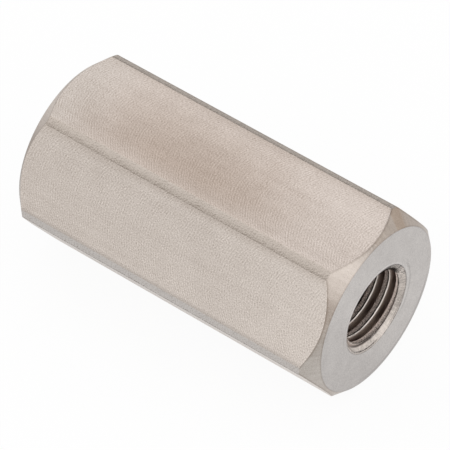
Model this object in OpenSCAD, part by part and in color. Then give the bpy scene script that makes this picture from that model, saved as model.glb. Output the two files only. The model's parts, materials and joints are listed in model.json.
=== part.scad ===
// Hexagon coupling nut: a long nut that joins two threaded rods end to end.
// It is turned from round bar, its six flats are milled, and its hole is drilled
// right through, countersunk at both mouths and tapped.
//
// The nut lies on one of its flats, as it comes to rest on a bench. Its bore runs
// along X, +Z is up, and the origin is at the centre of the flat that it lies on.

/* [Hexagon] */
// Distance across two opposite flats, which is the spanner size
across_flats = 24; // [20:0.5:36]
// Overall length between the two end faces
body_length = 48; // [24:1:90]
// How far each sharp corner of the hexagon is turned down, which leaves a round land
corner_turned = 0.36; // [0.1:0.02:1]

/* [End chamfers] */
// Length of each end chamfer along the bore, from the end face to the corner lands
chamfer_length = 2; // [0.6:0.1:4]
// Width of each end chamfer across the end face, from its ring to the corner lands
chamfer_width = 2; // [0.6:0.1:3]

/* [Threaded hole] */
// Nominal diameter of the thread, at its roots
thread_diameter = 12; // [6:1:14]
// Distance from one thread to the next
thread_pitch = 1.75; // [0.75:0.25:2]
// How much wider than diameter less pitch the hole is drilled before it is tapped
drill_oversize = 0.25; // [0:0.05:0.5]

/* [Countersinks] */
// How much wider than the thread each countersink is at the end face
countersink_over = 0.5; // [0.2:0.1:1.5]
// Depth of each countersink, from the end face to the hole's wall
countersink_depth = 0.55; // [0.3:0.05:1.5]

/* [Hidden] */

// Fineness of the round surfaces
$fn = 96;
// How far a cutting shape runs past the end face that it opens
cut_past = 1;

// The sharp corners of the hexagon, and the round bar that trims them
sharp_corner_radius = across_flats / sqrt(3);
bar_radius = sharp_corner_radius - corner_turned;
// The flat ring that is left of each end face outside the countersink
end_ring_radius = bar_radius - chamfer_width;
// The thread's crests are what the drill leaves, so they carry the hole's wall
hole_radius = (thread_diameter - thread_pitch + drill_oversize) / 2;
countersink_radius = (thread_diameter + countersink_over) / 2;
// The bore's height above the flat that the nut lies on
bore_height = across_flats / 2;
steel = [0.66, 0.62, 0.58];

// Turns a shape made standing on Z, centred on the origin, onto the bore's axis
module along_bore() {
    translate([0, 0, bore_height])
        rotate([0, 90, 0])
            children();
}

// The hexagon bar, standing on Z, with one of its flats facing +X
module hexagon_bar() {
    rotate([0, 0, 30])
        cylinder(h = body_length, r = sharp_corner_radius, center = true, $fn = 6);
}

// The turned bar with a chamfer at each end, standing on Z. Where a chamfer's
// cone meets a flat it leaves the curved edge that such nuts have.
module turned_bar() {
    end = body_length / 2;
    rotate_extrude()
        polygon([
            [0, -end],
            [end_ring_radius, -end],
            [bar_radius, -end + chamfer_length],
            [bar_radius, end - chamfer_length],
            [end_ring_radius, end],
            [0, end]
        ]);
}

// What the drill and the two countersinks take away, standing on Z. Each
// countersink keeps its slope past the end face, so that its mouth is clean.
module drilled_hole() {
    end = body_length / 2;
    slope = (countersink_radius - hole_radius) / countersink_depth;
    mouth_radius = countersink_radius + slope * cut_past;
    rotate_extrude()
        polygon([
            [0, -end - cut_past],
            [mouth_radius, -end - cut_past],
            [hole_radius, -end + countersink_depth],
            [hole_radius, end - countersink_depth],
            [mouth_radius, end + cut_past],
            [0, end + cut_past]
        ]);
}

// The whole nut: the hexagon and the turned bar leave the flats, the corner
// lands and the chamfers between them, and the hole goes through both ends
module coupling_nut() {
    color(steel)
        along_bore()
            difference() {
                intersection() {
                    hexagon_bar();
                    turned_bar();
                }
                drilled_hole();
            }
}

coupling_nut();
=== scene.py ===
# %% [markdown]
# # A hexagon coupling nut in bare stainless steel
# A coupling nut joins two threaded rods end to end. This one is turned from round
# bar, its six flats are milled, and its hole is drilled, countersunk and tapped.
# The solid model that this script loads has the hexagon, the chamfers and a plain
# hole. The lesson makes the surface that a camera sees: the same hexagon with its
# edges slightly softened, a real helical thread, and the marks that each tool left.
# The nut lies on one flat, its bore runs along X, and +X is the end that shows.

# %% Load the packed nut
import json
import bpy
import numpy as np
from mathutils import Matrix, Vector


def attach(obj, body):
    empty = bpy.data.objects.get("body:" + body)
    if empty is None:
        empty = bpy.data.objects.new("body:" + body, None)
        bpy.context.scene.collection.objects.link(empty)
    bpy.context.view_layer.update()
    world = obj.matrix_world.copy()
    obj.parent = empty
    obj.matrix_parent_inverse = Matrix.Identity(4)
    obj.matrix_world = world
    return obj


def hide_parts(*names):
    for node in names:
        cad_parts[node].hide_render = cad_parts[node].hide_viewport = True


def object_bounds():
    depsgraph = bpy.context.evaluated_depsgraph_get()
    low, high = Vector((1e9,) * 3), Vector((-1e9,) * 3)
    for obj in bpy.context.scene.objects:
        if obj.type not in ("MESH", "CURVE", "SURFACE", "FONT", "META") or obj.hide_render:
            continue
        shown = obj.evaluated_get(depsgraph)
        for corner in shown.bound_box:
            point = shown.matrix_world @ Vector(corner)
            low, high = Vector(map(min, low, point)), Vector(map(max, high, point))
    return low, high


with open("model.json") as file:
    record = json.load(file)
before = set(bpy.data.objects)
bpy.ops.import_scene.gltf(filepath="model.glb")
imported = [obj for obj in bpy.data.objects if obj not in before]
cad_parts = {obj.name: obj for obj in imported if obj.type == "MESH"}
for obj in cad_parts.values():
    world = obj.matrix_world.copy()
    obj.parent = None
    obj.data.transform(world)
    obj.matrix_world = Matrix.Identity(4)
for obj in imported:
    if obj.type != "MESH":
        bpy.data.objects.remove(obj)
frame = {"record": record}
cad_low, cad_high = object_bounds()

print("the solid's box in metres:", tuple(cad_low), tuple(cad_high))

# %% [markdown]
# ## Sizes
# The outside sizes are read from the solid's box, and the hole's from the record,
# so that the dressed nut can't drift away from the model. Lengths are in
# millimetres, and the mesh is scaled to metres at the end.
# A flat meets the round bar at the angle whose cosine is the flat's distance over
# the bar's radius, and what is left up to 30 degrees is half of a corner's land.

# %% Sizes of the nut
MM = 0.001
half_length = cad_high.x / MM
flat_distance = (cad_high.z - cad_low.z) / MM / 2
bar_radius = cad_high.y / MM
bore_height = flat_distance
land_half = 30 - np.degrees(np.arccos(flat_distance / bar_radius))

rod_mount = {mount["name"]: mount for mount in frame["record"]["mounts"]}["rod_thread_front"]
hole_radius = rod_mount["dims"]["r_mm"]
countersink_depth = half_length - rod_mount["pos_m"][0] / MM

thread_diameter = 12.0
thread_pitch = 1.75
countersink_over = 0.5
countersink_radius = (thread_diameter + countersink_over) / 2
chamfer_length = 2.0
chamfer_width = 2.0
end_ring_radius = bar_radius - chamfer_width
print(f"across flats {2 * flat_distance:.2f}, length {2 * half_length:.2f}, bar {2 * bar_radius:.2f} mm")
print(f"each corner land spans {2 * land_half:.2f} degrees")

# %% [markdown]
# ## Camera
# The photograph is a product shot through a long lens, from a high corner of the
# studio. A lens this long keeps the far end of the nut almost as large as the near
# end. The camera is turned round the nut's own middle, so its place follows from
# two angles, a distance and a small roll of the tripod head. The shifts slide the
# picture a little in its frame.

# %% Camera at the photograph's angle
camera_turn = 40.886
camera_height_angle = 49.482
camera_roll = -4.177
camera_distance = 0.5377
camera_lens = 340.63
sensor_width = 36.0
shift_right = 0.00316
shift_up = -0.00213

camera_axes = (
    Matrix.Rotation(np.radians(camera_turn), 4, "Z")
    @ Matrix.Rotation(np.radians(90 - camera_height_angle), 4, "X")
    @ Matrix.Rotation(np.radians(camera_roll), 4, "Z")
)
nut_middle = Matrix.Translation((0, 0, bore_height * MM))
step_back = Matrix.Translation((0, 0, camera_distance))
camera_data = bpy.data.cameras.new("camera")
camera_data.lens = camera_lens
camera_data.sensor_width = sensor_width
camera_data.shift_x = shift_right
camera_data.shift_y = shift_up
camera_data.clip_start = 0.01
camera_data.clip_end = 50
camera = bpy.data.objects.new("camera", camera_data)
camera.matrix_world = nut_middle @ camera_axes @ step_back
bpy.context.scene.collection.objects.link(camera)
bpy.context.scene.camera = camera
print("camera stands at", tuple(round(c, 4) for c in camera.matrix_world.translation))

# %% [markdown]
# ## Shader maths
# Tool marks are easier to write as formulas than as a web of nodes. This small
# class holds one socket of a node tree, and Python's operators on it add the Math
# nodes. Every other node comes from `add`, which takes the node's type, then its
# settings, then the values or links of its sockets.

# %% A socket that does arithmetic
def connect(node, sockets):
    """Gives each named input of a node its value, or a link where the value is a Wire."""
    for name, value in sockets.items():
        if isinstance(value, Wire):
            node.id_data.links.new(value.socket, node.inputs[name])
        else:
            node.inputs[name].default_value = value


class Wire:
    """One output socket of a material. Operators on it add Math nodes and give a new Wire."""

    def __init__(self, socket):
        self.socket = socket

    def add(self, kind, settings=None, sockets=None, output=0):
        """Adds a node to the same tree: first its settings, then its sockets' values or links."""
        node = self.socket.id_data.nodes.new(kind)
        for name, value in (settings or {}).items():
            setattr(node, name, value)
        connect(node, sockets or {})
        return Wire(node.outputs[output])

    def maths(self, operation, *others):
        """One Math node: this value first, then the others that the operation needs."""
        return self.add("ShaderNodeMath", {"operation": operation}, dict(enumerate((self, *others))))

    def __add__(self, other):
        return self.maths("ADD", other)

    def __sub__(self, other):
        return self.maths("SUBTRACT", other)

    def __rsub__(self, other):
        return self.add("ShaderNodeMath", {"operation": "SUBTRACT"}, {0: other, 1: self})

    def __mul__(self, other):
        return self.maths("MULTIPLY", other)

    def __truediv__(self, other):
        return self.maths("DIVIDE", other)

    def __abs__(self):
        return self.maths("ABSOLUTE")

    __radd__ = __add__
    __rmul__ = __mul__

    def between(self, low, high):
        """0 below low, 1 above high, and a smooth rise from one to the other."""
        sockets = {"Value": self, "From Min": low, "From Max": high}
        return self.add("ShaderNodeMapRange", {"interpolation_type": "SMOOTHSTEP"}, sockets)

    def near(self, centre, width):
        """1 at centre, and falling smoothly to 0 at width from it."""
        return 1 - abs(self - centre).between(0, width)

    def wrapped(self, length):
        """The value less whole lengths, so that it stays within half a length of zero."""
        return self.maths("WRAP", -length / 2, length / 2)

    def colour(self, low, high):
        """The colour low where this value is 0 and high where it is 1. Each may be a Wire."""
        return self.add("ShaderNodeMix", {"data_type": "RGBA"}, {0: self, 6: low, 7: high}, output=2)

    def noise(self, scale, detail=2.0, rough=0.5):
        """Cloudy noise from 0 to 1 at this place, with `scale` cells to a unit of length."""
        sockets = {"Vector": self, "Scale": scale, "Detail": detail, "Roughness": rough}
        return self.add("ShaderNodeTexNoise", {"noise_dimensions": "3D"}, sockets)

    def torn(self, scale, step):
        """Fine relief as light shows it: the noise here less the noise one step further on."""
        further = self.add("ShaderNodeVectorMath", {"operation": "ADD"}, {0: self, 1: step})
        return self.noise(scale) - further.noise(scale)


def joined(x, y, z):
    """A vector Wire from three values, of which at least one is a Wire."""
    first = next(value for value in (x, y, z) if isinstance(value, Wire))
    return first.add("ShaderNodeCombineXYZ", None, {"X": x, "Y": y, "Z": z})


def parts(vector):
    """The three values of a vector Wire."""
    separate = vector.add("ShaderNodeSeparateXYZ", None, {"Vector": vector})
    return [Wire(output) for output in separate.socket.node.outputs]


def tinted(colour, tint, mask):
    """The colour, multiplied by the tint where the mask is 1."""
    settings = {"data_type": "RGBA", "blend_type": "MULTIPLY"}
    return mask.add("ShaderNodeMix", settings, {0: mask, 6: colour, 7: tint}, output=2)


print("a Wire can do:", ", ".join(name for name in vars(Wire) if not name.startswith("_")))

# %% [markdown]
# ## Materials share one start
# Every finish on the nut is bare metal, so each material is a Principled shader with
# Metallic at 1. `bare_metal` starts one and hands back the places that a pattern can
# read: the object's own coordinates in millimetres from the middle of the bore, and
# the distance from the bore's axis. Each finish then works out a tone, which picks a
# colour between a dark and a light one. The numbers in a tone's formula are the
# strengths of its ingredients, and they were set to match the photograph.

# %% A bare metal material and its coordinates
def bare_metal(name):
    """A new material, the place in millimetres and the radius there."""
    material = bpy.data.materials.new(name)
    material.use_nodes = True
    place = Wire(material.node_tree.nodes.new("ShaderNodeTexCoord").outputs["Object"])
    centred = place.add("ShaderNodeMapping", None, {
        "Vector": place,
        "Location": (0, 0, -bore_height),
        "Scale": (1 / MM, 1 / MM, 1 / MM),
    })
    _, y, z = parts(centred)
    return material, centred, (y * y + z * z).maths("SQRT")


def finish_metal(material, colour, roughness, height, depth, metallic=1.0, gloss=0.5):
    """Gives the shader its colour, its roughness and its height in units of `depth`
    millimetres. The last two serve what isn't all metal. Hands the material back."""
    nodes = material.node_tree.nodes
    sockets = {"Height": height, "Strength": 1.0, "Distance": depth * MM}
    connect(nodes["Principled BSDF"], {
        "Base Color": colour,
        "Roughness": roughness,
        "Normal": height.add("ShaderNodeBump", None, sockets),
        "Metallic": metallic,
        "Specular IOR Level": gloss,
    })
    print(material.name, "has", len(nodes), "nodes")
    return material


def tool_uv(material):
    """The piece's own tool-path coordinates, in millimetres, as two values."""
    node = material.node_tree.nodes.new("ShaderNodeUVMap")
    node.uv_map = "tool_path"
    return parts(Wire(node.outputs["UV"]))[:2]


def facing(place, radius, degrees):
    """Cosine of the angle round the bore between a point and a direction, from +Y upwards."""
    _, y, z = parts(place)
    return (y * np.cos(np.radians(degrees)) + z * np.sin(np.radians(degrees))) / radius


def side(place, radius, degrees, start, full=1.0):
    """A patch on one side of the bore: 0 where the cosine of `facing` is below start, 1 where
    it is above full. The closer start is to 1, the narrower the patch."""
    return facing(place, radius, degrees).between(start, full)


print("directions run from +Y at 0 degrees to +Z at 90 degrees")

# %% [markdown]
# ## The mill's arcs
# A face mill runs along the bar and leaves one shallow arc for each turn of the
# cutter, a little over a third of a millimetre apart. The arcs are far too shallow
# for geometry, a few thousandths of a millimetre, so they are drawn in the material
# along the tool's path, which the mesh carries as coordinates. Across the path those
# coordinates hold all six flats side by side, so each flat is wrapped round its own
# middle. The steel between the arcs is torn into a fine grain.

# %% The mill's arcs
feed_per_turn = 0.386
flat_spacing = 40.0


def mill_arcs(along, from_middle, flow):
    """Sine of the way along the path, one wave to a turn of the cutter. It drifts a little out
    of step, fades in and out, and is strongest on the side where the cutter goes in."""
    turns = along * (2 * np.pi / feed_per_turn) + flow.noise(1.6) * 5
    cutting_in = 1 - from_middle.between(-5.5, 0.0)
    strength = flow.noise(0.7, 3.0).between(0.35, 0.65) + cutting_in * 0.35
    return turns.maths("SINE") * strength


def torn_steel(place, along, across):
    """Fine torn grain as light shows it, in two layers: the first lies along the tool's path."""
    return joined(along, across, 0.0).torn(4.2, (0.10, 0.06, 0.0)), place.torn(5.6, (-0.06, 0.07, 0.07))


print("arcs along each flat:", round(2 * half_length / feed_per_turn))

# %% [markdown]
# ## Milled flats
# The top flat has a faint brown stain and a slightly cooler far end, and painted shade
# makes it darker as a whole. The flats carry painted light towards the near end. Each
# flat has painted shade along the edge where the cutter left it. Towards the corner
# that sticks out on the near side, the flat above ends in a sliver of painted shade,
# and the flat below starts a little cooler, a painted reflection of the pale floor.

# %% Milled flats
milled_dark = (0.415, 0.354, 0.308, 1)
milled_light = (0.850, 0.776, 0.716, 1)
stain_tint = (0.870, 0.824, 0.785, 1)
edge_shade_tint = (0.80, 0.775, 0.75, 1)
sliver_shade_tint = (0.78, 0.78, 0.78, 1)
lower_flat_reflection_tint = (1.0, 1.025, 1.055, 1)
cooler_tint = (1.0, 1.012, 1.025, 1)
warmer_tint = (1.0, 0.990, 0.997, 1)


def top_flat(place):
    """1 on the top flat alone."""
    return parts(place)[2].between(flat_distance - 0.4, flat_distance - 0.1)


def stain(place):
    """A long soft patch with a ragged outline, seen from above: 1 in the middle, 0 outside."""
    x, y, _ = parts(place)
    ragged = (place.noise(0.25, 3.0) - 0.5) * 8
    along_nut = 1 - abs(x + 2.5 + ragged).between(3, 22)
    over_flat = (1 - (y + ragged * 0.4).between(-3.5, 10.0)) * (0.5 + y.between(-6.5, -3.5) * 0.5)
    return along_nut * over_flat


def milled_tone(place, arcs, torn, grain):
    """The marks, faint patches and long streaks, with painted light towards the near end. The
    top flat has painted shade as a whole, more so at its far end and on its near side, and
    is darker still in the stain."""
    x, y, z = parts(place)
    on_top = top_flat(place)
    cloud = place.noise(0.22, 3.0, 0.75) - 0.5
    long_streaks = joined(x * 0.04, y * 1.1, z * 1.1).noise(1.0) - 0.5
    marks = 0.503 + arcs * 0.11 + torn * 0.9 + grain * 1.05 + cloud * 0.26 + long_streaks * 0.18
    # Painted light on the flats towards the near end
    near_end_light = x.between(4, 24) * (0.115 - on_top * 0.085)
    # Painted shade at the top flat's far end
    far_end_shade = on_top * (1 - x.between(-24, -8)) * 0.05
    # Painted shade over the top flat, more on its near side, and the real stain darker still
    top_shade_and_stain = on_top * (0.145 - y.between(-4, 6) * 0.10 + stain(place) * 0.10)
    return marks + near_end_light - far_end_shade - top_shade_and_stain


def flat_tints(steel, place, from_middle):
    """The steel's colour after each tint in turn, from the painted shade at the cutter's
    leaving edge to the painted floor reflection on the flat below the near corner."""
    x, y, z = parts(place)
    on_top = top_flat(place)
    leaving_edge = from_middle.between(flat_distance / 2 - 1.6, flat_distance / 2 + 0.2)
    towards_corner = y * -1
    below_corner = (z * -1).between(0.0, 0.6)
    # Painted shade along the edge where the cutter left each flat
    steel = tinted(steel, edge_shade_tint, leaving_edge * leaving_edge * 0.5)
    steel = tinted(steel, stain_tint, on_top * stain(place))
    steel = tinted(steel, x.between(-23, -13).colour(cooler_tint, warmer_tint), on_top)
    # A sliver of painted shade on the flat above the near corner
    steel = tinted(steel, sliver_shade_tint, towards_corner.between(13.15, 13.45) * (1 - below_corner))
    # A painted reflection of the pale floor on the flat below the near corner
    return tinted(steel, lower_flat_reflection_tint, towards_corner.between(7.0, 12.0) * below_corner)


def milled_flats():
    """Light and dark arcs along the tool's path, broken up by grain, patches and tints."""
    material, place, _ = bare_metal("milled_flats")
    along, across = tool_uv(material)
    from_middle = across.wrapped(flat_spacing)
    arcs = mill_arcs(along, from_middle, joined(along, across, 0.0))
    torn, grain = torn_steel(place, along, across)
    steel = milled_tone(place, arcs, torn, grain).colour(milled_dark, milled_light)
    roughness = 0.42 + grain * 0.5 + torn * 0.2
    height = arcs * 0.4 + torn * 1.4 + grain * 1.6
    return finish_metal(material, flat_tints(steel, place, from_middle), roughness, height, depth=0.006)


flat_finish = milled_flats()

# %% [markdown]
# ## Corner lands
# The flats stop just short of meeting, and a narrow strip of the turned bar is left
# along each of the six corners. Where the mill broke out of the bar the edge is crisp,
# and where it went in the edge is soft. Painted shade darkens the land towards the
# crisp edge and ends there in a dark line, while by the soft edge the land is nearly
# as pale as the flat. The crisp edge wanders, and small ticks along it repeat at the
# mill's feed, because each arc ends there. The grain is the flats' own, so the land
# looks cut from the same bar. The land at the corner that sticks out on the near side
# is cooler, a painted reflection of the pale floor, and its painted shade is one crisp
# dark line. The lands on the nut's other side have painted shade along the soft edge
# too. On a land the tool coordinates hold the way along the nut and, across it, the
# distance from the land's middle.

# %% Corner lands
land_dark = (0.250, 0.205, 0.170, 1)
land_light = (0.580, 0.515, 0.460, 1)
near_land_reflection_tint = (1.0, 1.06, 1.13, 1)


def corner_lands():
    """Pale on the side where the mill went in, with painted shade towards the crisp edge, and ticks."""
    material, place, radius = bare_metal("corner_lands")
    along, across = tool_uv(material)
    rings = joined(along * 6.0, across * 1.5, radius * 0.1).noise(1.0, 3.0, 0.6) - 0.5
    torn, grain = torn_steel(place, along, across)
    ticks = (along * (2 * np.pi / feed_per_turn)).maths("SINE")
    ragged = joined(along * 2.4, across * 1.2, radius * 0.1).noise(1.0, 3.0, 0.7) - 0.5
    wavy = across + ragged * 0.5 + ticks * 0.04
    towards_edge = wavy.between(-0.20, 0.62)
    crisp_edge_shade = wavy.near(0.63, 0.22)
    patches = place.noise(0.4) - 0.5
    near_corner = side(place, radius, 180, 0.95)
    # Painted shade along the soft edge of the lands on the nut's other side
    soft_edge_shade = side(place, radius, 0, 0.30, 0.45) * (1 - wavy.between(-0.5, 0.0))
    # Painted shade deepens towards the crisp edge and ends in a dark painted line along it
    tone = 0.90 - towards_edge * (0.34 - near_corner * 0.36)
    tone = tone - crisp_edge_shade * (0.12 + near_corner * 0.60) - soft_edge_shade * 0.55
    tone = tone + rings * 0.5 + torn * 1.3 + grain * 1.5 + patches * 0.3
    # A painted reflection of the pale floor cools the land at the near corner
    colour = tinted(tone.colour(land_dark, land_light), near_land_reflection_tint, near_corner)
    height = rings + torn * 1.4 + grain * 1.6
    return finish_metal(material, colour, 0.44 + grain * 0.3, height, depth=0.006)


land_finish = corner_lands()

# %% [markdown]
# ## Marks that run round the bore
# The chamfers, end rings and countersinks are made on the lathe, so their marks run
# round the bore. Seen as light, such fine circles do something odd: they smear every
# highlight across themselves, so the surface changes tone round the nut in streaks
# that point at the bore, and shows hardly any circles. Noise that changes quickly
# round the bore and slowly outwards gives such streaks.

# %% Patterns for turned surfaces
def round_the_bore(place, radius, fine, outward):
    """Noise that changes `fine` times round each radian and `outward` times a millimetre."""
    _, y, z = parts(place)
    return joined(y / radius * fine, z / radius * fine, radius * outward).noise(1.0, 2.0, 0.6) - 0.5


def below_flats(place):
    """How far a point lies below the nearest flat: the flat's distance less the largest
    of the distances along the three directions across the flats."""
    _, y, z = parts(place)
    slant = y * np.cos(np.radians(30))
    leaning = abs(z * 0.5 + slant)
    opposite = abs(z * 0.5 - slant)
    return flat_distance - abs(z).maths("MAXIMUM", leaning.maths("MAXIMUM", opposite))


def spot(place, y_centre, z_centre, size):
    """1 at a point of the end face or chamfer, falling to 0 at `size` from it."""
    _, y, z = parts(place)
    squared = (y - y_centre) * (y - y_centre) + (z - z_centre) * (z - z_centre)
    return squared.maths("SQRT").near(0, size)


print("patterns for turned surfaces are ready")

# %% [markdown]
# ## Turned chamfers
# On a real nut the lamps show in a chamfer as fans of light that point at the bore,
# with dark ones between them. Here they are painted highlights and painted shade, and
# both ends of this nut get the same fans, but the far end has painted shade. The
# steel is browner in two places and cooler on the near side, both painted reflections.
# Painted shade lies along the curved edge on the flats and along the end ring's rim.

# %% Turned chamfers
chamfer_dark = (0.300, 0.245, 0.205, 1)
chamfer_light = (0.760, 0.685, 0.625, 1)
reflected_brown_tint = (1.0, 0.92, 0.84, 1)
near_side_reflection_tint = (1.04, 1.10, 1.14, 1)
# Each painted fan's direction round the bore, the cosine at which it starts, and its brightness
painted_chamfer_fans = ((75, 0.965, 0.26), (72, 0.975, 0.13), (138, 0.984, -0.15), (161, 0.98, -0.11))


def turned_chamfer():
    """Painted fans of highlight and shade, streaks that point at the bore, a brown tint of
    painted reflection, and lines of painted shade at both edges.
    """
    material, place, radius = bare_metal("turned_chamfer")
    streaks = round_the_bore(place, radius, 26.0, 0.5)
    sweep = round_the_bore(place, radius, 2.2, 0.2)
    # Painted highlights in a bow tie across the bore, then the listed fans of painted light and shade
    fan = abs(facing(place, radius, 108)).maths("POWER", 22) * 0.36
    for degrees, start, brightness in painted_chamfer_fans:
        fan = fan + side(place, radius, degrees, start) * brightness
    grain = place.noise(8.0, 2.0, 0.6) - 0.5
    wobble = place.noise(1.8) - 0.5
    # Painted shade along the curved edge on the flats
    curved_edge_shade = (below_flats(place) + wobble * 0.15).near(0, 0.30)
    # Painted shade along the end ring's rim
    rim = radius.near(end_ring_radius, 0.16)
    nicks = spot(place, -0.25, 11.78, 0.22) + spot(place, 0.5, 11.72, 0.18)
    # Painted shade over the far end's chamfer
    far_end_shade = 1 - parts(place)[0].between(-1, 1)
    tone = 0.36 + fan + streaks * 0.4 + sweep * 0.3 + grain * 0.9
    tone = tone - curved_edge_shade * 0.42 - rim * 0.25 + nicks * 0.3 - far_end_shade * 0.25
    # A brown tint of painted reflection in two directions round the bore
    brown_reflection = side(place, radius, 61, 0.9960, 0.9975) * 0.65 + side(place, radius, 70, 0.94, 0.97) * 0.4
    colour = tinted(tone.colour(chamfer_dark, chamfer_light), reflected_brown_tint, brown_reflection)
    # A painted reflection of the pale floor cools the near side
    colour = tinted(colour, near_side_reflection_tint, side(place, radius, 180, 0.8))
    roughness = 0.36 + grain * 0.3 + streaks * 0.1
    return finish_metal(material, colour, roughness, streaks + grain, depth=0.006)


chamfer_finish = turned_chamfer()

# %% [markdown]
# ## Faced end rings
# The end ring was faced with a fresh edge, so it is cooler and smoother than the
# chamfer and only finely grained. The facing tool left faint arcs beside the hole,
# the ring's outer rim is darker at its lower right, and a pale lip half way round the
# hole shows where the countersink's edge was pushed up. Both rims carry painted shade,
# more along the mouth on one side, and so do the ring's low, far and near sides.

# %% Faced end rings
ring_dark = (0.430, 0.403, 0.387, 1)
ring_light = (0.720, 0.688, 0.664, 1)


def ring_arcs(place, radius):
    """Arcs beside the hole: a light and a dark one on the right, a dark one on the left."""
    right_of_hole = side(place, radius, -12, 0.76, 0.90)
    left_of_hole = side(place, radius, 130, 0.40, 0.70)
    right_arcs = (radius.near(6.62, 0.16) * 0.3 - radius.near(7.03, 0.23)) * right_of_hole
    return right_arcs - radius.near(6.86, 0.16) * left_of_hole * 0.5


def ring_rims(place, radius):
    """How dark the ring's edges are: painted shade on both rims, more on one side of the mouth,
    the darker lower right of the outer one, and less the pale lip by the hole."""
    # Painted shadow along the mouth on one side of the hole, and painted shade on both rims
    shaded_edge = side(place, radius, 115, 0.60, 0.90)
    mouth = radius.near(countersink_radius, 0.13) * (1 + shaded_edge * 1.4)
    rim = radius.near(end_ring_radius, 0.12)
    dark_lower_rim = radius.near(11.12, 0.32) * side(place, radius, -62, 0.66, 0.90)
    pale_lip = radius.near(6.50, 0.17) * side(place, radius, 75, 0.10, 0.60)
    return mouth * 0.40 + rim * 0.40 + dark_lower_rim * 0.55 - pale_lip * 0.22


def faced_end_ring():
    """A cool fine grain with arcs by the hole, a dark dot, rims darkened mostly by painted
    shade, and three broad painted shades.
    """
    material, place, radius = bare_metal("faced_end_ring")
    _, y, z = parts(place)
    circles = round_the_bore(place, radius, 1.5, 6.0)
    grain = place.noise(4.8, 2.0, 0.6) - 0.5
    cloud = place.noise(0.5, 3.0) - 0.5
    dot = spot(place, -7.08, 2.31, 0.16)
    # Painted shade on the ring's low, far and near sides
    low_side_shade = (z * -1).between(2.0, 11.0)
    far_side_shade = (y * 0.77 + z * 0.64).between(2, 8)
    near_side_shade = (y * -0.87 - z * 0.50).between(2, 7)
    tone = 0.485 + circles * 0.20 + grain * 1.3 + cloud * 0.4 + ring_arcs(place, radius) * 0.40
    tone = tone - low_side_shade * 0.10 - far_side_shade * 0.09 - near_side_shade * 0.17
    tone = tone - ring_rims(place, radius) - dot * 0.9
    colour = tone.colour(ring_dark, ring_light)
    return finish_metal(material, colour, 0.40 + grain * 0.2, grain + circles, depth=0.004)


ring_finish = faced_end_ring()

# %% [markdown]
# ## Chattered countersinks
# A countersink's cutter chatters, and leaves the cone in short light and dark marks
# across its slope. At the upper right the tap raised small burrs, which show at this
# size only as a rougher speckle, and low down there are dark specks. The cone has
# painted shade on the right and at the top, and a painted highlight low down. On the
# upper side the inner edge is painted black as shade. Metal reflects everything at a
# grazing angle however dark its colour is, so the painted black is no metal: where it
# lies, Metallic falls to 0, and its own gloss is taken away as well.

# %% Chattered countersinks
countersink_dark = (0.060, 0.050, 0.045, 1)
countersink_light = (0.765, 0.690, 0.632, 1)
# Black painted as shade at the countersink's upper inner edge, in the thread's folds and on parts of its cut
# edge
painted_shade_black = (0.020, 0.016, 0.014, 1)


def countersink_tone(place, radius):
    """Light patches and short marks across the cone, with a broken dark line at both edges,
    painted shade on the right and at the top, and a painted highlight low down.
    """
    chatter = round_the_bore(place, radius, 22.0, 0.8)
    patches = round_the_bore(place, radius, 3.0, 1.0)
    grain = place.noise(7.0, 3.0, 0.7) - 0.5
    mouth = radius.near(countersink_radius, 0.14) * (0.7 + patches * 3)
    inner = 1 - radius.between(hole_radius + 0.03, hole_radius + 0.19)
    inwards = 1 - radius.between(5.55, 6.15)
    right_side_shade = side(place, radius, 0, 0.30)
    towards_top = side(place, radius, 78, 0.40, 0.70)
    on_top = towards_top * (0.22 + inwards * 0.35) + side(place, radius, 78, 0.86) * 0.70
    burrs = side(place, radius, 32, 0.91, 0.985)
    low_side_highlight = side(place, radius, -78, 0.93)
    speckled = side(place, radius, -118, 0.80, 0.95) + side(place, radius, -48, 0.90, 0.99) * 0.35
    specks = radius.near(6.03, 0.11) * speckled * (0.6 + chatter * 4 + grain * 6)
    tone = 0.77 + chatter * (0.70 + on_top * 3 + burrs * 2.6) + patches * 0.70
    tone = tone + grain * (1.2 + on_top * 3 + burrs * 4)
    # Painted shade on the right and at the top, and a painted highlight low down
    return tone - mouth * 0.60 - inner * 0.60 - right_side_shade * 0.15 - on_top - specks * 0.95 + low_side_highlight * 0.11


def painted_shade_edge(place, radius):
    """1 where black shade is painted, on the inner edge of the countersink's upper side."""
    return side(place, radius, 58, 0.74, 0.93) * (1 - radius.between(5.45, 5.85))


def chattered_countersink():
    """The cone at each mouth of the hole, in the tones of `countersink_tone`, with black
    painted shade at its upper inner edge.
    """
    material, place, radius = bare_metal("chattered_countersink")
    tone = countersink_tone(place, radius)
    top_edge_shade = painted_shade_edge(place, radius)
    colour = top_edge_shade.colour(tone.colour(countersink_dark, countersink_light), painted_shade_black)
    return finish_metal(material, colour, 0.38 - tone * 0.08, tone, depth=0.008, metallic=1 - top_edge_shade, gloss=0.0)


countersink_finish = chattered_countersink()

# %% [markdown]
# ## Where the thread lies
# The thread's place is read off the first crest, whose middle lies three quarters of
# a millimetre inside the end face at 300 degrees round the bore. The same numbers
# serve the shape and its finish.

# %% Place and form of a crest
crest_half = 0.41
fold_back = 0.24
lip_back = 0.11
first_crest_depth = 0.75
first_crest_angle = 300
crest_at_zero = half_length - first_crest_depth - thread_pitch * first_crest_angle / 360
print(f"at 0 degrees a crest's middle is at x = {crest_at_zero:.2f} mm")

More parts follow.
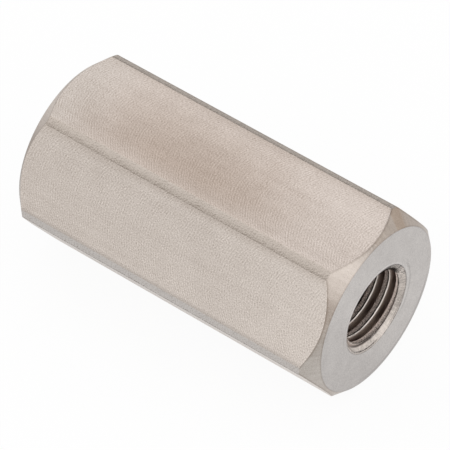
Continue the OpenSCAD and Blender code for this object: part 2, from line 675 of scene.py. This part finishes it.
# %% [markdown]
# ## Tapped thread
# The tap leaves a groove whose flanks are burnished and brown. Towards the root they
# turn nearly black, partly in real shadow and partly in painted shade. In two directions
# round the bore the groove's floor has a painted glint, and in one its flanks have
# painted shade. Along the front edge of each crest runs a thin bright lip that the tap
# rolled up, with a fold behind it, a real dent that is painted black as shade. The
# crest itself is dull and gritty, because only the drill ever touched it, with painted
# shade deep in the hole and painted light near the mouth, strongest behind its middle.
# Lip and fold are only faint where the countersink has cut the crest away, and part of
# that cut is edged with a line of painted shade. The material reads how far along the
# bore a point lies within one pitch, so its bands follow the helix.

# %% Tapped thread
flank_light = (0.430, 0.343, 0.290, 1)
root_colour = (0.196, 0.141, 0.117, 1)
shade_tint = (0.30, 0.27, 0.25, 1)
crest_dark = (0.170, 0.127, 0.108, 1)
crest_light = (0.975, 0.845, 0.765, 1)
lip_colour = (0.955, 0.885, 0.820, 1)


def groove_colour(place, radius, scratches, deep):
    """Brown flanks with painted shade towards the root, painted glints on two sides and
    painted shade on one.
    """
    # Painted glints on the groove's floor in two directions
    glints = side(place, radius, -84, 0.92) * 0.8 + side(place, radius, -30, 0.92) * 0.5
    # Painted shade towards the root, on top of the real shadow, except under the glints
    root = (radius + scratches * 0.1).between(hole_radius, hole_radius + 0.5) * (1 - glints)
    shade = side(place, radius, 55, 0.70, 0.95) * (1 - deep * 0.4)
    return tinted(root.colour(flank_light, root_colour), shade_tint, shade)


def crest_colour(offset, depth, deep, grit):
    """Gritty, with painted shade deep in the hole, painted light near the mouth, and a painted
    highlight behind its middle that is strongest near the mouth.
    """
    rear_half_highlight = 1 - offset.between(-crest_half, 0.0)
    # Painted shade deep in the hole, painted light near the mouth and a painted highlight behind the middle
    tone = 0.34 + rear_half_highlight * 0.12 + (1 - deep) * (0.05 + rear_half_highlight * 0.9) + grit * 3.2
    # A line of painted shade where the countersink cuts the crest
    return (tone - depth.near(countersink_depth, 0.13)).colour(crest_dark, crest_light)


def cut_edge_shade(place, radius, depth):
    """1 on the parts of the line where the countersink cuts the thread that get painted shade."""
    dark_parts = side(place, radius, -120, 0.82, 0.97) * 0.8 + side(place, radius, -55, 0.93) * 0.35
    return depth.near(countersink_depth + 0.05, 0.14) * dark_parts


def tapped_thread():
    """Bands across one pitch, root, flank, lip, fold and gritty crest, and the cone at the mouth."""
    material, place, radius = bare_metal("tapped_thread")
    along, around = tool_uv(material)
    offset = (along - crest_at_zero).wrapped(thread_pitch)
    depth = half_length - abs(parts(place)[0])
    deep = depth.between(0.8, 1.8)
    formed = depth.between(0.70, 1.0) * 0.85 + 0.15
    grit = place.noise(6.5, 3.0, 0.7) - 0.5
    scratches = joined(along * 12.0, around * 0.8, 0.0).noise(1.0, 3.0) - 0.5
    on_crest = 1 - abs(offset).between(crest_half, crest_half + 0.05)
    on_lip = offset.near(crest_half - lip_back / 2, 0.13) * formed
    fold_shade = offset.near(crest_half - fold_back - 0.02, 0.16) * formed
    at_mouth = 1 - depth.between(countersink_depth - 0.08, countersink_depth + 0.02)
    # Painted shade at the upper inner edge, as on the countersink, fading within the first turn
    top_edge_shade = painted_shade_edge(place, radius) * (1 - depth.between(1.3, 1.8))
    groove = groove_colour(place, radius, scratches, deep)
    colour = on_crest.colour(groove, crest_colour(offset, depth, deep, grit))
    colour = on_lip.colour(colour, lip_colour)
    # The fold, a real dent, and parts of the countersink's cut edge are painted black as shade
    colour = (fold_shade + cut_edge_shade(place, radius, depth)).colour(colour, painted_shade_black)
    cone = countersink_tone(place, radius).colour(countersink_dark, countersink_light)
    # Painted black shade at the upper inner edge over the thread and the cone
    colour = top_edge_shade.colour(at_mouth.colour(colour, cone), painted_shade_black)
    roughness = 0.36 + on_crest * 0.4 - on_lip * 0.45 + grit * 0.2
    height = grit * on_crest * (1 - on_lip) * 8 + scratches
    metallic = (0.75 - on_crest * 0.45 + on_lip * 0.7 + at_mouth) * (1 - top_edge_shade)
    return finish_metal(material, colour, roughness, height, depth=0.008, metallic=metallic)


thread_finish = tapped_thread()

# %% [markdown]
# ## Softened edges and the angles round the bore
# A perfectly sharp edge has no width, so it catches no light and looks like paper.
# Real edges are broken by a tenth of a millimetre or so. `smooth_min` takes the
# smaller of two radii and rounds the corner where they cross, which softens every
# outside edge by the same simple rule. The edge where the mill broke out is crisper
# than the one where it went in. The columns of the mesh crowd together at the edges
# of the corner lands, where the surface turns, and spread out over the flats. They
# are written once, from a corner to a flat's middle, then mirrored and repeated.

# %% Rounding and columns
chamfer_softness = 0.10
leaving_softness = 0.05
entering_softness = 0.20


def smooth_min(a, b, softness):
    """The smaller of a and b, less a quarter of the softness where they are equal, fading
    with the square of their closeness to nothing where they differ by the softness."""
    closeness = np.maximum(softness - np.abs(a - b), 0) / softness
    return np.minimum(a, b) - softness / 4 * closeness**2


edge_steps = land_half + np.array([-0.9, -0.5, -0.22, 0.0, 0.22, 0.5, 1.3])
half_sector = np.concatenate([[0.0, 1.0], edge_steps, np.linspace(edge_steps[-1], 30, 9)[1:]])
sector = np.concatenate([-half_sector[-2:0:-1], half_sector])
columns = (60.0 * np.arange(6)[:, None] + sector).ravel()
columns = np.append(columns, columns[0] + 360)
print(len(columns) - 1, "columns round the nut")

# %% [markdown]
# ## The outside, from mouth to mouth
# Seen as a section through the bore's axis, the outside is a line: across the end
# ring, round its rim, down the chamfer, along the bar and the same again at the other
# end. The bar's radius depends on the angle round the bore, and the chamfer is a
# cone, so the edge between them dips towards the middle of each flat and rises at the
# corners. That is the curved edge which marks a turned hexagon. A grid with one row
# for each point of the section puts its rows exactly along that edge. The lists of
# rows say where the points lie: radii across the ring, angles round its rim, shares
# of the chamfer's slope, steps across the curved edge and places along the bar.

# %% Section of the outside at every angle
mouth_break = 0.02
rim_round = 0.12
mouth_x = half_length - mouth_break
ring_rows = (countersink_radius + mouth_break, 6.6, 8.0, 9.5, 10.8, 11.3)
rim_turns = np.radians([0, 15, 30, 45])
chamfer_shares = (0.1, 0.4, 0.7)
edge_rows = (1.0, 0.5, 0.0, -0.5, -1.0, -3.0, -10.0)
bar_rows = (20.0, 16.0, 12.0, 8.0, 4.0, 0.0)


def bar_surface(angle):
    """Distance from the bore's axis to the bar: flat distance over the cosine of the angle
    from the flat's middle, or the round bar's radius at the corners if that is less."""
    from_flat = np.radians(angle % 60 - 30)
    softness = np.where(from_flat < 0, leaving_softness, entering_softness)
    return smooth_min(flat_distance / np.cos(from_flat), bar_radius, softness)


def chamfer_cone(x):
    """Radius of the chamfer's cone at x, growing from the end ring's rim."""
    return end_ring_radius + (half_length - np.abs(x)) * chamfer_width / chamfer_length


def countersink_cone(x):
    """Radius of the countersink at x, shrinking from its mouth at the end face."""
    slope = (countersink_radius - hole_radius) / countersink_depth
    return countersink_radius - (half_length - np.abs(x)) * slope


def front_section(angle):
    """Rows of x and radius for the front half, from the hole's mouth to the nut's middle."""
    flat_row = np.ones_like(angle)
    bar = bar_surface(angle)
    edge = half_length - (bar - end_ring_radius) * chamfer_length / chamfer_width
    xs = [mouth_x * flat_row]
    radii = [countersink_cone(mouth_x) * flat_row]
    for ring in ring_rows:
        xs.append(half_length * flat_row)
        radii.append(ring * flat_row)
    rim_centre = end_ring_radius - rim_round * np.tan(np.radians(22.5))
    for turned in rim_turns:
        xs.append((half_length - rim_round + rim_round * np.cos(turned)) * flat_row)
        radii.append((rim_centre + rim_round * np.sin(turned)) * flat_row)
    rim_x = xs[-1]
    for share in chamfer_shares:
        xs.append(rim_x + share * (edge + chamfer_softness - rim_x))
    for step in edge_rows:
        xs.append(edge + step * chamfer_softness)
    for place in bar_rows:
        xs.append(place * flat_row)
    for x in xs[len(radii):]:
        radii.append(smooth_min(bar, chamfer_cone(x), chamfer_softness))
    return np.array(xs), np.array(radii)


front_x, front_radius = front_section(columns)
outside_x = np.concatenate([front_x, -front_x[-2::-1]])
outside_radius = np.concatenate([front_radius, front_radius[-2::-1]])
print("rows along the outside:", len(outside_x))

# %% [markdown]
# ## The thread, as one helical grid
# A thread is one profile carried along a helix. Each row of the grid is one point of
# the profile, and it moves forward by one pitch as the angle goes once round, so the
# last column meets the first one a pitch further on. The profile has the flanks at 60
# degrees to each other, a flat at root and crest, and the lip and fold at the crest's
# front edge. Where the countersink is wider than the thread, its cone takes over, and
# the nearest row is moved onto the line where the two meet, so that edge is clean.

# %% Helical grid of the thread
lip_height = 0.11
wander_along = 0.012
wander_in_radius = 0.014
flank_run = (thread_diameter / 2 - hole_radius) * np.tan(np.radians(30))


def wander(turns, speeds, seed):
    """A wavering line from about -1 to 1: sine waves of several speeds with random starts."""
    starts = np.random.default_rng(seed).uniform(0, 2 * np.pi, len(speeds))
    waves = [np.sin(2 * np.pi * speed * turns + start) for speed, start in zip(speeds, starts)]
    return sum(waves) / len(speeds) ** 0.5


root_radius = thread_diameter / 2
flank_middle = (hole_radius + root_radius) / 2
profile = np.array([
    # x from the crest's middle, radius, and how much of the lip's wavering it takes
    (-thread_pitch / 2, root_radius, 0),
    (-crest_half - flank_run, root_radius, 0),
    (-crest_half - flank_run / 2, flank_middle, 0),
    (-crest_half - 0.015, hole_radius + 0.03, 0),
    (-crest_half + 0.03, hole_radius, 0),
    (0.0, hole_radius - 0.01, 0.2),
    (crest_half - fold_back - 0.09, hole_radius, 0.3),
    (crest_half - fold_back, hole_radius + 0.10, 0.5),
    (crest_half - lip_back - 0.05, hole_radius - 0.3 * lip_height, 1),
    (crest_half - lip_back, hole_radius - lip_height, 1),
    (crest_half - lip_back / 3, hole_radius - 0.5 * lip_height, 1),
    (crest_half + 0.04, hole_radius + 0.05, 0.3),
    (crest_half + flank_run / 2, flank_middle, 0),
    (crest_half + flank_run, root_radius, 0),
])
turns_needed = np.arange(-2 * np.ceil(half_length / thread_pitch), 3)
turn_of_row = np.repeat(turns_needed, len(profile))[:, None]
profile_x, profile_radius, profile_waver = (np.tile(c, len(turns_needed))[:, None] for c in profile.T)

turned_by = columns[None, :] / 360
helix = turn_of_row + turned_by
waver = wander(helix, (3.1, 7.7, 13.3, 23.9), seed=3) * profile_waver
thread_x = crest_at_zero + thread_pitch * helix + profile_x + wander_along * waver
thread_radius = profile_radius + wander_in_radius * waver * np.ones_like(thread_x)
print("turns of thread:", round(2 * half_length / thread_pitch, 1), "rows:", len(thread_x))

# %% [markdown]
# The thread and the countersink are both written as a radius for each x, and the
# hole is as wide as the wider of the two. Whole arrays are compared at once: where
# the difference changes sign between two rows, the crossing is a simple proportion.

# %% Where the countersinks cut the thread
difference = thread_radius - countersink_cone(thread_x)
crosses = difference[:-1] * difference[1:] < 0
share = difference[:-1] / np.where(crosses, difference[:-1] - difference[1:], 1)
crossing_x = thread_x[:-1] + share * (thread_x[1:] - thread_x[:-1])
crossing_radius = thread_radius[:-1] + share * (thread_radius[1:] - thread_radius[:-1])
this_row_nearer = crosses & (share < 0.5)
next_row_nearer = crosses & (share >= 0.5)
for first_row, chosen in ((0, this_row_nearer), (1, next_row_nearer)):
    rows = slice(first_row, first_row + len(crosses))
    thread_x[rows][chosen] = crossing_x[chosen]
    thread_radius[rows][chosen] = crossing_radius[chosen]

inside_x = np.clip(thread_x, -mouth_x, mouth_x)
inside_radius = np.maximum(thread_radius, countersink_cone(inside_x))
on_cone = countersink_cone(inside_x) > thread_radius - 1e-6
print("grid points moved onto the countersinks' edges:", int(crosses.sum()))

# %% [markdown]
# ## One closed skin
# The outside runs from the front mouth to the back one and the thread runs forward
# again, so the two grids joined end to end are one closed skin like a ring. Equal
# points are welded, and triangles that have shrunk to nothing, such as the thread's
# rows beyond the end faces, are dropped.

# %% Join the grids
grid_x = np.concatenate([outside_x, inside_x])
grid_radius = np.concatenate([outside_radius, inside_radius])
angle = np.radians(columns)[None, :]
points = np.stack([grid_x, grid_radius * np.cos(angle), grid_radius * np.sin(angle) + bore_height], -1)

numbers = np.arange(grid_x.size).reshape(grid_x.shape)
a, b, c, d = numbers[:-1, :-1], numbers[1:, :-1], numbers[1:, 1:], numbers[:-1, 1:]
triangles = np.stack([np.stack([a, b, c], -1), np.stack([a, c, d], -1)], -2).reshape(-1, 3)

rounded = np.round(points.reshape(-1, 3), 5)
_, first_use, welded = np.unique(rounded, axis=0, return_index=True, return_inverse=True)
skin = welded.ravel()[triangles]
whole = (skin[:, 0] != skin[:, 1]) & (skin[:, 1] != skin[:, 2]) & (skin[:, 2] != skin[:, 0])
print("triangles kept:", int(whole.sum()), "of", len(whole))

# %% [markdown]
# Each corner of a face gets the tool's coordinates: along the feed and across the
# flat on the outside, along the bore and round it in the thread, and along the nut
# and across the land on a land. The coordinates on a flat follow the mill. A cutter of radius R whose centre
# runs along a line across the flat leaves the arc x = c - sqrt(R^2 - v^2), where v is
# measured from that line. Adding the square root to x therefore gives a number that
# is the same all along one arc, and it grows by one feed from each arc to the next.

# %% Tool coordinates for every corner
mill_radius = 9.0
mill_offset = 0.3
flat_number = np.floor(columns / 60)[None, :]
flat_middle = np.radians(60 * flat_number + 30)
across = -outside_radius * np.sin(angle - flat_middle)
reach = np.sqrt(mill_radius**2 - (across - mill_offset)**2)
outside_uv = np.stack([outside_x + reach, across + flat_spacing * flat_number], -1)
around = 2 * np.pi * hole_radius * turned_by * np.ones_like(inside_x)
inside_uv = np.stack([inside_x - thread_pitch * turned_by, around], -1)
grid_uv = np.concatenate([outside_uv, inside_uv]).reshape(-1, 2)
signed_from_corner = np.radians((columns + 30) % 60 - 30)[None, :]
land_uv = np.stack(np.broadcast_arrays(grid_x, signed_from_corner * bar_radius), -1).reshape(-1, 2)
print("tool coordinates for", len(grid_uv), "grid points")

# %% [markdown]
# The strips between two rows of the outside belong to the countersink, the end ring,
# the chamfer and the bar in turn. Of the bar, the narrow columns at the corners are
# lands. In the hole, faces with all four corners on the cone are countersink.

# %% A finish for every face
FLAT, LAND, CHAMFER, RING, COUNTERSINK, THREAD = range(6)
ring_strips = len(ring_rows) - 1 + len(rim_turns) - 1
chamfer_strips = len(chamfer_shares) + edge_rows.index(0.0) + 1
bar_strips = len(front_x) - 1 - 1 - ring_strips - chamfer_strips
front_zones = [COUNTERSINK] + [RING] * ring_strips + [CHAMFER] * chamfer_strips + [FLAT] * bar_strips
row_zones = np.array(front_zones + front_zones[::-1] + [THREAD] * len(inside_x))
zones = np.repeat(row_zones[:, None], len(columns) - 1, axis=1)
from_corner = np.abs((columns + 30) % 60 - 30)
land_columns = np.maximum(from_corner[:-1], from_corner[1:]) < land_half + 0.01
zones[(zones == FLAT) & land_columns] = LAND
cone_quads = on_cone[:-1, :-1] & on_cone[1:, :-1] & on_cone[1:, 1:] & on_cone[:-1, 1:]
inside_zones = zones[len(outside_x):]
inside_zones[cone_quads] = COUNTERSINK
finish_of_triangle = np.repeat(zones.ravel(), 2)
print("faces by finish:", np.bincount(finish_of_triangle[whole]))

# %% [markdown]
# A closed skin needs its faces turned outwards. The volume that they enclose tells:
# it is the sum of the small pyramids from the origin to each face, and it comes out
# negative if the faces look inwards. On a closed skin, exactly two faces meet on
# every edge, which the last line counts.

# %% Faces turned outwards
skin_points = points.reshape(-1, 3)[first_use] * MM
faces = skin[whole]
first, second, third = (skin_points[faces[:, corner]] for corner in range(3))
volume = (first * np.cross(second, third)).sum() / 6
on_land = (finish_of_triangle == LAND)[whole]
corner_uv = grid_uv[triangles[whole]]
corner_uv[on_land] = land_uv[triangles[whole][on_land]]
if volume < 0:
    faces = faces[:, ::-1]
    corner_uv = corner_uv[:, ::-1]
used, faces = np.unique(faces, return_inverse=True)
faces = faces.reshape(-1, 3)
skin_points = skin_points[used]

edges = np.sort(faces[:, [[0, 1], [1, 2], [2, 0]]].reshape(-1, 2), axis=1)
faces_on_edge = np.unique(edges, axis=0, return_counts=True)[1]
print("volume in cubic millimetres:", round(abs(volume) / MM**3, 1))
print("faces that meet on each edge, least and most:", faces_on_edge.min(), faces_on_edge.max())

# %% [markdown]
# Smooth shading blends the slopes of neighbouring faces. If each face counts by its
# area, the broad flats keep their own direction right up to the edge and only the
# narrow rounded strips turn, which is how a machined edge looks.

# %% Build the mesh
def shaded_normals(place, faces):
    """For each point, the sum of its faces' area vectors, made one unit long."""
    area = np.cross(place[faces[:, 1]] - place[faces[:, 0]], place[faces[:, 2]] - place[faces[:, 0]])
    total = np.zeros_like(place)
    for corner in range(3):
        np.add.at(total, faces[:, corner], area)
    return total / np.linalg.norm(total, axis=1, keepdims=True)


mesh = bpy.data.meshes.new("coupling_nut_skin")
mesh.from_pydata(skin_points, [], faces)
mesh.uv_layers.new(name="tool_path")
mesh.uv_layers["tool_path"].data.foreach_set("uv", corner_uv.ravel())
mesh.polygons.foreach_set("material_index", finish_of_triangle[whole])
mesh.polygons.foreach_set("use_smooth", np.ones(len(faces), bool))
mesh.normals_split_custom_set_from_vertices(shaded_normals(skin_points, faces))
mesh.update()
nut = bpy.data.objects.new("nut_steel", mesh)
bpy.context.scene.collection.objects.link(nut)
print("the nut's mesh has", len(mesh.polygons), "triangles")

# %% [markdown]
# ## Finishes on the nut
# The materials are added in the order of the numbers that the faces carry. Then the
# piece is attached to the body it rides on, and the part of the solid model that it
# takes the place of is hidden.

# %% Give each zone its finish
finishes = (flat_finish, land_finish, chamfer_finish, ring_finish, countersink_finish, thread_finish)
for finish in finishes:
    mesh.materials.append(finish)
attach(nut, "root")
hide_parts("coupling_nut")
print("finishes:", [material.name for material in mesh.materials])

# %% [markdown]
# ## Studio
# The nut lies on a sheet like a light table. Paint alone can't come out white, since
# it would have to send back all the light that it gets. So most of the floor's white
# glows of its own, but only for rays from the camera, from a reflection or through
# glass. The rest is paint, and carries the nut's soft shadow. The floor lies a hair
# below the nut, so that the two surfaces never share a pixel.

# %% Floor
floor_colour = (0.95, 0.95, 0.95, 1)
floor_reach = 4.0
floor_height = -2e-5
corner_signs = ((-1, -1), (1, -1), (1, 1), (-1, 1))
floor_corners = [(x * floor_reach, y * floor_reach, floor_height) for x, y in corner_signs]
floor_mesh = bpy.data.meshes.new("floor")
floor_mesh.from_pydata(floor_corners, [], [(0, 1, 2, 3)])
floor = bpy.data.objects.new("floor", floor_mesh)
bpy.context.scene.collection.objects.link(floor)

floor_paint = bpy.data.materials.new("pale_floor")
floor_paint.use_nodes = True
floor_nodes = floor_paint.node_tree.nodes
floor_shader = floor_nodes["Principled BSDF"]
connect(floor_shader, {"Base Color": floor_colour, "Roughness": 0.9, "Specular IOR Level": 0.0})
light_path = floor_nodes.new("ShaderNodeLightPath")
counts_as_white = {"Is Camera Ray": 0.93, "Is Glossy Ray": 0.85, "Is Transmission Ray": 0.85}
lift = sum(Wire(light_path.outputs[kind]) * share for kind, share in counts_as_white.items())
white = Wire(floor_nodes.new("ShaderNodeEmission").outputs[0])
seen = lift.add("ShaderNodeMixShader", None, {0: lift, 1: Wire(floor_shader.outputs[0]), 2: white})
connect(floor_nodes["Material Output"], {"Surface": seen})
floor_mesh.materials.append(floor_paint)
print("floor reaches", floor_reach, "metres each way")

# %% [markdown]
# ## Tent of light and lamps
# The nut was photographed in a light tent: pale walls all round, and only a little
# more light from one side. Polished metal shows what is round it, so the studio
# matters as much as the steel. The world is a plain pale tent, dimmer low down at the
# back and a little dimmer at the front left, as the camera sees it. Two soft lamps
# add shape: one at the front right brightens the chamfers, and one from above falls
# on the top flat. The camera itself sees plain white wherever it looks past the floor.
# A tent this even needs no sampling of its own.

# %% Tent of light and lamps
dim_behind = 0.52
dim_at_left = 0.10
world = bpy.data.worlds.new("light_tent")
bpy.context.scene.world = world
world.use_nodes = True
world_nodes = world.node_tree.nodes
direction = Wire(world_nodes.new("ShaderNodeTexCoord").outputs["Generated"])
east, north, up = parts(direction)
low_behind = (north - up * 0.6).between(0.15, 0.75)
front_left = (north * -0.87 - east * 0.49).between(0.4, 1.0)
brightness = 1 - low_behind * dim_behind - front_left * dim_at_left
tent = joined(brightness, brightness, brightness)
seen_directly = Wire(world_nodes.new("ShaderNodeLightPath").outputs["Is Camera Ray"])
backdrop = seen_directly.colour(tent, (1, 1, 1, 1))
connect(world_nodes["Background"], {"Color": backdrop, "Strength": 1.0})
world.cycles.sampling_method = "NONE"


def soft_lamp(name, comes_from, irradiance, spread):
    """A distant lamp seen as a soft disc `spread` degrees wide in the given direction."""
    data = bpy.data.lights.new(name, "SUN")
    data.energy = irradiance
    data.angle = np.radians(spread)
    lamp = bpy.data.objects.new(name, data)
    lamp.rotation_euler = Vector(comes_from).to_track_quat("Z", "Y").to_euler()
    bpy.context.scene.collection.objects.link(lamp)


soft_lamp("front_lamp", comes_from=(0.92, -0.10, 0.38), irradiance=0.13, spread=50)
soft_lamp("top_lamp", comes_from=(-0.45, 0.30, 0.84), irradiance=0.15, spread=60)
print("tent and", len(bpy.data.lights), "soft lamps are set")

# %% [markdown]
# ## Colour as written
# The view transform is Standard, so a colour comes out about as it is written.

# %% Standard view transform
bpy.context.scene.view_settings.view_transform = "Standard"
